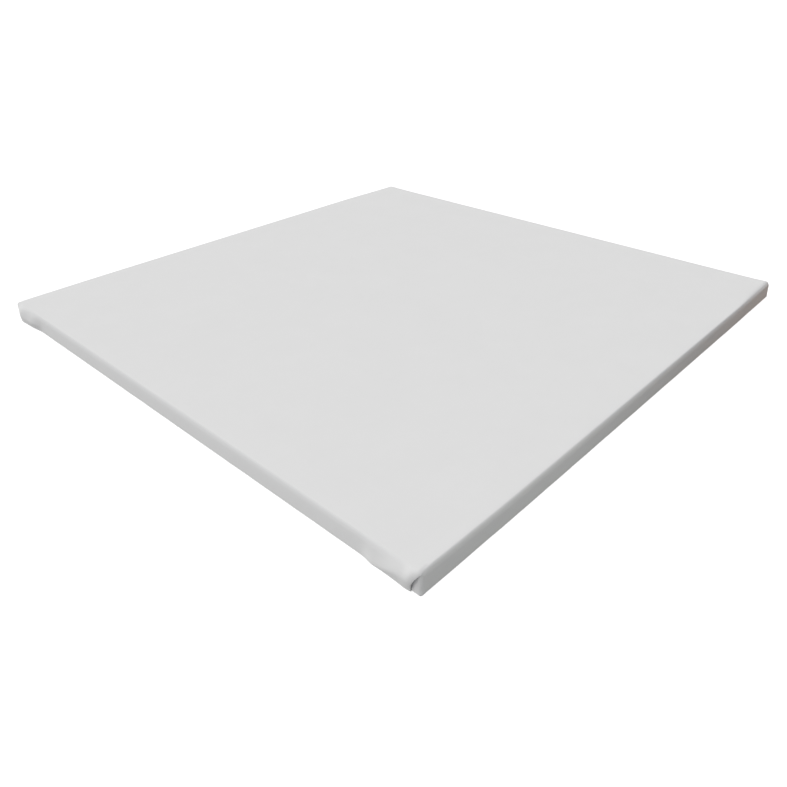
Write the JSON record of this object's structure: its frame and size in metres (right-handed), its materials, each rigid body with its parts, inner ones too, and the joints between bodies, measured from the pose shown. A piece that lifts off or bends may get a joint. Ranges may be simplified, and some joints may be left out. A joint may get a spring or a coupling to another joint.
{
  "type": "stretched canvas",
  "caption": "Square blank stretched canvas: primed cloth folded and stapled over mitred, keyed wooden stretcher bars, with tapered corner keys that tighten it.",
  "frame": {"origin": "under the centre of the canvas, on the plane of the folded corners at its back", "axes": "+Z towards the painting face, +X towards the east bar and +Y towards the north bar, which is the top when the canvas stands on an easel"},
  "size_m": [0.6058, 0.6032, 0.0205],
  "materials": {
    "primed_canvas": "white primed plain weave, matte",
    "pine": "planed, unfinished",
    "key_wood": "sawn, unfinished",
    "staple_steel": "zinc plated wire"
  },
  "bodies": {
    "canvas": {"canvas": "primed_canvas"},
    "south_bar": {"stretcher_south": "pine", "staples_south": "staple_steel"},
    "east_bar": {"stretcher_east": "pine", "staples_east": "staple_steel", "fold_staples_se": "staple_steel", "fold_staples_ne": "staple_steel"},
    "north_bar": {"stretcher_north": "pine", "staples_north": "staple_steel"},
    "west_bar": {"stretcher_west": "pine", "staples_west": "staple_steel", "fold_staples_sw": "staple_steel", "fold_staples_nw": "staple_steel"},
    "key_sw_rear": {"key_sw_rear": "key_wood"},
    "key_se_rear": {"key_se_rear": "key_wood"},
    "key_ne_rear": {"key_ne_rear": "key_wood"},
    "key_nw_rear": {"key_nw_rear": "key_wood"},
    "key_se_front": {"key_se_front": "key_wood"},
    "key_ne_front": {"key_ne_front": "key_wood"},
    "key_nw_front": {"key_nw_front": "key_wood"},
    "key_sw_front": {"key_sw_front": "key_wood"}
  },
  "joints": [
    {"name": "south_bar_slide", "type": "slide", "parent": "canvas", "child": "south_bar", "axis": [0, 1, 0], "range_m": [0, 0.00095]},
    {"name": "east_bar_slide", "type": "slide", "parent": "canvas", "child": "east_bar", "axis": [-1, 0, 0], "range_m": [0, 0.00095]},
    {"name": "north_bar_slide", "type": "slide", "parent": "canvas", "child": "north_bar", "axis": [0, -1, 0], "range_m": [0, 0.00095]},
    {"name": "west_bar_slide", "type": "slide", "parent": "canvas", "child": "west_bar", "axis": [1, 0, 0], "range_m": [0, 0.00095]},
    {"name": "key_sw_rear_slide", "type": "slide", "parent": "south_bar", "child": "key_sw_rear", "axis": [0.1414, 0.9899, 0], "range_m": [0, 0.00672]},
    {"name": "key_se_rear_slide", "type": "slide", "parent": "east_bar", "child": "key_se_rear", "axis": [-0.9899, 0.1414, 0], "range_m": [0, 0.00672]},
    {"name": "key_ne_rear_slide", "type": "slide", "parent": "north_bar", "child": "key_ne_rear", "axis": [-0.1414, -0.9899, 0], "range_m": [0, 0.00672]},
    {"name": "key_nw_rear_slide", "type": "slide", "parent": "west_bar", "child": "key_nw_rear", "axis": [0.9899, -0.1414, 0], "range_m": [0, 0.00672]},
    {"name": "key_se_front_slide", "type": "slide", "parent": "south_bar", "child": "key_se_front", "axis": [-0.1414, 0.9899, 0], "range_m": [0, 0.00672]},
    {"name": "key_ne_front_slide", "type": "slide", "parent": "east_bar", "child": "key_ne_front", "axis": [-0.9899, -0.1414, 0], "range_m": [0, 0.00672]},
    {"name": "key_nw_front_slide", "type": "slide", "parent": "north_bar", "child": "key_nw_front", "axis": [0.1414, -0.9899, 0], "range_m": [0, 0.00672]},
    {"name": "key_sw_front_slide", "type": "slide", "parent": "west_bar", "child": "key_sw_front", "axis": [0.9899, 0.1414, 0], "range_m": [0, 0.00672]}
  ],
  "couplings": [
    {"joint": "east_bar_slide", "follows": "south_bar_slide", "ratio": 1},
    {"joint": "north_bar_slide", "follows": "south_bar_slide", "ratio": 1},
    {"joint": "west_bar_slide", "follows": "south_bar_slide", "ratio": 1},
    {"joint": "key_sw_rear_slide", "follows": "south_bar_slide", "ratio": 7.0711},
    {"joint": "key_se_rear_slide", "follows": "south_bar_slide", "ratio": 7.0711},
    {"joint": "key_ne_rear_slide", "follows": "south_bar_slide", "ratio": 7.0711},
    {"joint": "key_nw_rear_slide", "follows": "south_bar_slide", "ratio": 7.0711},
    {"joint": "key_se_front_slide", "follows": "south_bar_slide", "ratio": 7.0711},
    {"joint": "key_ne_front_slide", "follows": "south_bar_slide", "ratio": 7.0711},
    {"joint": "key_nw_front_slide", "follows": "south_bar_slide", "ratio": 7.0711},
    {"joint": "key_sw_front_slide", "follows": "south_bar_slide", "ratio": 7.0711}
  ]
}
